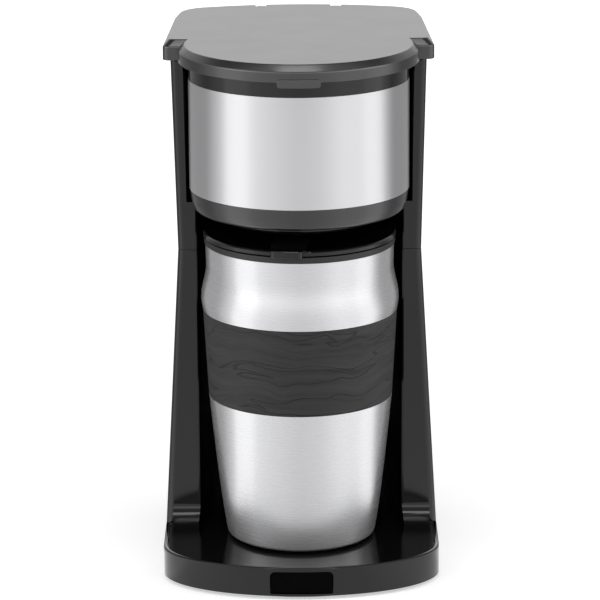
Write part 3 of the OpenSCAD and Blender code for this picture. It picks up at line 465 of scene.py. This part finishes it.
# The rings under the band come from a tool polished less than the housings', and shine more softly
ring_abs = moulded_plastic("soft_gloss_black_ABS", "#0E0E0F", rough=(0.2, 0.25), ripple_mm=9,
                           ripple=0.1, shine=0.8)
lower_ring = turned("lower_ring", "appliance", ring_abs, [
    (48.5, 175.3), (47.8, 169.8), (46.9, 166.9), (45.6, 165.7), (43.9, 165.3), (30.5, 165.3),
    (30.5, 167.7), (43.7, 167.7), (44.7, 169.2), (45.9, 175.3)],
    rounded=(0, 1, 2, 3, 4), round_mm=0.5)
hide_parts("head_lower_ring")
drip = turned("drip_outlet", "appliance", ring_abs, [
    (3, 161.2), (34.3, 161.2), (35.8, 161.9), (36.4, 163.2), (36.5, 165.2), (30.2, 165.2),
    (30.2, 175.3), (28.2, 175.3), (28.2, 163.2), (3, 163.2)],
    rounded=(1, 2, 3), round_mm=0.4)
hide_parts("drip_cup")
TOP_RING_Z, TOP_RING_WALL = 231.7, 0.3  # its top, and the least height of a face of its wall
top_ring = eased("head_top_ring", "upper_ring", "appliance", gloss_abs, [
    (0.2, lambda e: level(e, TOP_RING_Z) and tall(e, TOP_RING_WALL)),
])
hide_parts("head_top_ring")
dress(satin_pp, "brew_chamber", "filter_basket", "water_spout")
dress(zinc_steel, "hinge_pin")

# Permanent filter: nylon and steel weave, dull gold with a fine sparkle. Its threads are far finer
# than the 1.2 mm at which they are drawn so that they show
filter_weave, tree, shader = finish_material("woven_filter", base_color=linear("#A8853F"),
                                             metallic=0.8, roughness=0.4)
place = add(tree, "TexCoord").outputs["Object"]
THREAD_MM, THREAD_HEIGHT_MM = 1.18432, 0.1
WAVE_RADIANS = 20  # what the wave texture runs through in one unit
threads = [add(tree, "TexWave",
               {"Vector": place, "Scale": math.tau / WAVE_RADIANS / (THREAD_MM * MM)},
               bands_direction=axis).outputs[1] for axis in ("DIAGONAL", "Z")]
crossed = add(tree, "Math", {0: threads[0], 1: threads[1]}, operation="MULTIPLY")
bump = add(tree, "Bump", {"Height": crossed.outputs[0], "Strength": 0.6,
                          "Distance": THREAD_HEIGHT_MM * MM})
tree.links.new(bump.outputs[0], shader.inputs["Normal"])
dress(filter_weave, "filter_mesh")


# ---- Lid
# A gloss ABS lid that covers head, tank and column, with a thumb tab at the front and a knuckle
# on the hinge pin at the back. A satin liner closes over the chamber.

# Lid ABS: the housings' plastic from a tool polished a little less, so it mirrors more softly
lid_abs = moulded_plastic("lid_black_ABS", "#101011", rough=(0.24, 0.27), ripple_mm=10,
                          ripple=0.04, shine=0.95)
# Heights of its foot, top, slope and side foot, then the radius of its front and the tab's
LID_Z, LID_TOP, LID_SLOPE_Z, LID_SIDE_Z = 232.0, 239.5, 236.5, 230.4
LID_R, TAB_R, TAB_TOP, TAB_HALF = 53.0, 53.9, 233.4, 9.35
TAB_ROOT = 4  # how far back from the lid's front the tab's ends reach
TAB_LEAST = 0.3  # faces this far out of the lid's front, and edges this long, are the tab's


def from_axis(place):
    """Distance of a place from the mug's upright axis, in mm."""
    return math.hypot(place.x, place.y - AXIS_Y * MM) / MM


def on_tab(e):
    """Edges round the front face of the thumb tab."""
    return all(from_axis(v.co) > TAB_R - 2 * NEAR and v.co.z < (TAB_TOP + NEAR) * MM
               for v in e.verts)


def tab_end(e):
    """The short edges at the tab's four corners, which run from the lid's skirt to its front."""
    run = e.verts[0].co - e.verts[1].co
    return (all(abs(abs(v.co.x) - TAB_HALF * MM) < NEAR * MM and v.co.z < (TAB_TOP + NEAR) * MM
                and v.co.y < (AXIS_Y - LID_R + TAB_ROOT) * MM for v in e.verts)
            and abs(run.z) < NEAR_Z / 2 * MM and run.length > TAB_LEAST * MM)


lid = eased("lid", "top_lid", "lid", lid_abs, [
    (0.5, lambda e: level(e, LID_TOP)),
    (0.6, lambda e: level(e, LID_SLOPE_Z)),
    (1.3, tab_end),
    (0.35, on_tab),
    (0.4, lambda e: level(e, LID_Z) or level(e, LID_SIDE_Z)),
])
# The tab's outside is satin, from a blasted part of the tool, and its grey is a painted highlight
tab_abs_painted_highlight = moulded_plastic("satin_ABS_painted_highlight", "#4A4A4C", rough=(0.38, 0.45), ripple_mm=1.2,
                          ripple=0.3)
lid.data.materials.append(tab_abs_painted_highlight)
# The faces of the tab's front take the grey of the painted highlight
for polygon in lid.data.polygons:
    x, y, z = polygon.center / MM
    if (from_axis(polygon.center) > LID_R + TAB_LEAST and abs(x) < TAB_HALF + NEAR
            and z < TAB_TOP + NEAR and y < AXIS_Y):
        polygon.material_index = 1
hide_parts("lid")
dress(satin_pp, "lid_liner")


# ---- Travel mug
# A double-walled stainless steel mug. Its outer wall is hydroformed and brushed, stepped in for
# the grip sleeve, and the black collar is bonded over the rim.
# The tray's floor, from which the mug's own heights are measured, then the heights and radii up
# the mug's outside and the thicknesses of sleeve and steel, all in mm
FLOOR_Z = 14.1
BASE_R, SLEEVE_LOW, SLEEVE_HIGH, SLEEVE_LOW_R, SLEEVE_HIGH_R = 33.1, 66.3, 105.8, 41.2, 43.4
SWELL_H, SWELL_R, WAIST_H, WAIST_R, STEEL_TOP, RIM_R = 110.9, 44.1, 126.1, 41.8, 135.9, 42.0
SHELL_H, SLEEVE_T, STEEL_T = 0.8, 1.6, 0.7
BELLY = 0.8  # below 1 the lower wall bows outwards
FOOT_ROUND, FOOT_LIP, FOOT_HOLE = 0.9, 1, 5  # the foot that the wall turns in to
SLEEVE_FIT, STEP = 0.15, 0.02  # the gap behind the sleeve, and the height each step takes


def wall_radius(h):
    """Outer radius of the mug at a height above its foot, in mm."""
    def between(a, b, t):
        return a + (b - a) * t
    if h < SLEEVE_LOW:
        t = max(h - SHELL_H, 0) / (SLEEVE_LOW - SHELL_H)
        return between(BASE_R, SLEEVE_LOW_R, t ** BELLY)
    if h < SLEEVE_HIGH:
        return between(SLEEVE_LOW_R, SLEEVE_HIGH_R, (h - SLEEVE_LOW) / (SLEEVE_HIGH - SLEEVE_LOW))
    if h < SWELL_H:
        t = (h - SLEEVE_HIGH) / (SWELL_H - SLEEVE_HIGH)
        return between(SLEEVE_HIGH_R, SWELL_R, math.sin(math.pi / 2 * t))
    if h < WAIST_H:
        t = (h - SWELL_H) / (WAIST_H - SWELL_H)
        return between(SWELL_R, WAIST_R, (1 - math.cos(math.pi * t)) / 2)
    return between(WAIST_R, RIM_R, (h - WAIST_H) / (STEEL_TOP - WAIST_H))


def steps_between(a, b, n):
    """n + 1 even steps from a to b."""
    return [a + (b - a) * i / n for i in range(n + 1)]


# 18/8 stainless steel, belt brushed round the mug after forming: finer lines and a softer shine
# than the band has
mug_steel = brushed_steel("brushed_stainless_steel", "#D5D5D7", rough=0.27, line_mm=0.16,
                          depth=0.04, metal=0.74)
wall = [(wall_radius(h), h) for h in steps_between(SHELL_H + FOOT_ROUND, SLEEVE_LOW, 26)]
wall += [(wall_radius(h) - SLEEVE_T - SLEEVE_FIT, h)
         for h in (SLEEVE_LOW + STEP, SLEEVE_HIGH - STEP)]
wall += [(wall_radius(h), h) for h in steps_between(SLEEVE_HIGH, STEEL_TOP, 36)]
outside = [(BASE_R - FOOT_HOLE, SHELL_H), (BASE_R - FOOT_LIP, SHELL_H)] + wall
inside = [(r - STEEL_T, h) for r, h in reversed(wall)] + [
    (BASE_R - 2 * FOOT_LIP, SHELL_H + STEEL_T), (BASE_R - FOOT_HOLE, SHELL_H + STEEL_T)]
shell = turned("mug_outer_wall", "mug", mug_steel,
               [(r, FLOOR_Z + h) for r, h in outside + inside], rounded=(1, 2), round_mm=0.5)
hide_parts("mug_shell")
dress(mug_steel, "mug_liner")
dress(rubber, "mug_foot")
dress(silicone, "mug_gasket")


# ---- Grip sleeve
# A sleeve moulded in dark silicone and stretched over the mug, where it sits in the step of the
# wall. The tool gives it a grain of long wavy ridges, broken by thin creases.

# Grained silicone: matt level ridges round the sleeve, with painted shade in valleys and creases
sleeve_silicone, tree, shader = finish_material("grained_silicone", base_color=linear("#2A2A2B"),
                                                roughness=0.62, ior=1.45)
place = add(tree, "TexCoord").outputs["Object"]
GRAIN_MM, GRAIN_RUN_MM, RELIEF_MM = 2.6, 1000 / 22, 0.6  # a ridge's height, length and depth
DRIFT_MM, DRIFT_RISE_MM = 26, 6  # how soon a ridge wanders up or down, and how far
centred = add(tree, "Mapping", {"Vector": place, "Location": (0, -AXIS_Y * MM, 0)})
drift = add(tree, "TexNoise", {"Vector": centred.outputs[0], "Scale": 1 / (DRIFT_MM * MM),
                               "Detail": 2.0})
shift = add(tree, "MapRange", {"Value": drift.outputs[0], "To Min": -DRIFT_RISE_MM * MM,
                               "To Max": DRIFT_RISE_MM * MM})
parts = add(tree, "SeparateXYZ", {0: centred.outputs[0]})
height = add(tree, "Math", {0: parts.outputs[2], 1: shift.outputs[0]}, operation="ADD")
warped = add(tree, "CombineXYZ", {0: parts.outputs[0], 1: parts.outputs[1], 2: height.outputs[0]})
stretched = add(tree, "Mapping", {"Vector": warped.outputs[0], "Scale": (
    1 / (GRAIN_RUN_MM * MM), 1 / (GRAIN_RUN_MM * MM), 1 / (GRAIN_MM * MM))})
grain = add(tree, "TexNoise", {"Vector": stretched.outputs[0], "Scale": 1.0, "Detail": 5.0,
                               "Roughness": 0.62})
# The creases are the lines along which a second, broader noise passes through its middle
CREASE_MM, CREASE_RUN_MM, CREASE_WIDTH, CREASE_FLOOR = 7, 62.5, 0.012, 0.1
broad = add(tree, "Mapping", {"Vector": warped.outputs[0], "Scale": (
    1 / (CREASE_RUN_MM * MM), 1 / (CREASE_RUN_MM * MM), 1 / (CREASE_MM * MM))})
folds = add(tree, "TexNoise", {"Vector": broad.outputs[0], "Scale": 1.0, "Detail": 2.0})
above_line = add(tree, "Math", {0: folds.outputs[0], 1: 0.5}, operation="SUBTRACT")
off_line = add(tree, "Math", {0: above_line.outputs[0]}, operation="ABSOLUTE")
crease = add(tree, "MapRange", {"Value": off_line.outputs[0], "From Max": CREASE_WIDTH,
                                "To Min": CREASE_FLOOR, "To Max": 1.0})
relief = add(tree, "Math", {0: grain.outputs[0], 1: crease.outputs[0]}, operation="MULTIPLY")
bump = add(tree, "Bump", {"Height": relief.outputs[0], "Strength": 1.0,
                          "Distance": RELIEF_MM * MM})
tree.links.new(bump.outputs[0], shader.inputs["Normal"])
# Painted shade and light: the valleys and creases are coloured darker and the ridges lighter
tone = add(tree, "ValToRGB", {0: relief.outputs[0]})
painted_valley_shade, painted_ridge_light = tone.color_ramp.elements
painted_valley_shade.position, painted_ridge_light.position = 0.2, 0.66
painted_valley_shade.color, painted_ridge_light.color = linear("#0B0B0C"), linear("#303031")
tree.links.new(tone.outputs[0], shader.inputs["Base Color"])

SLEEVE_GAP, SLEEVE_STEPS = 0.1, 12  # it is that much shorter than its step at each end
sleeve_heights = steps_between(SLEEVE_LOW + SLEEVE_GAP, SLEEVE_HIGH - SLEEVE_GAP, SLEEVE_STEPS)
sleeve_wall = [(wall_radius(h), FLOOR_Z + h) for h in sleeve_heights]
sleeve_wall += [(wall_radius(h) - SLEEVE_T, FLOOR_Z + h) for h in reversed(sleeve_heights)]
sleeve = turned("grip_sleeve", "mug", sleeve_silicone, sleeve_wall,
                rounded=(0, SLEEVE_STEPS), round_mm=0.35)
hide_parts("mug_sleeve")


# ---- Collar, mug lid and closure
# The collar is moulded in satin PP and bonded over the rim. The lid is gloss ABS: it pushes on and
# turns shut, and a small matt closure slides in a groove over its drinking hole.
COLLAR_LOW, COLLAR_TOP, COLLAR_IN, COLLAR_OUT = STEEL_TOP + 0.05, 138.8, 37.4, 42.5
collar = turned("rim_collar", "mug", satin_pp, [
    (COLLAR_IN, FLOOR_Z + COLLAR_LOW), (COLLAR_OUT, FLOOR_Z + COLLAR_LOW),
    (COLLAR_OUT, FLOOR_Z + COLLAR_TOP), (COLLAR_IN, FLOOR_Z + COLLAR_TOP)],
    rounded=(1, 2), round_mm=0.5)
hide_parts("mug_collar")
# The lid's edge, what its front lug stands above and hangs below that, and the closure's height
MUG_TOP, LUG_HIGH, LUG_LOW, CLOSURE_HIGH = 155.8, 0.3, 3, 1.4
mug_lid = eased("mug_lid", "drinking_lid", "mug_lid", gloss_abs, [
    (0.3, lambda e: level(e, MUG_TOP)),
    (0.5, lambda e: level(e, MUG_TOP + LUG_HIGH) or level(e, MUG_TOP - LUG_LOW)),
])
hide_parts("mug_lid")
closure = eased("mug_closure", "sliding_closure", "mug_closure", matt_pp, [
    (0.4, lambda e: level(e, MUG_TOP + CLOSURE_HIGH)),
])
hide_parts("mug_closure")
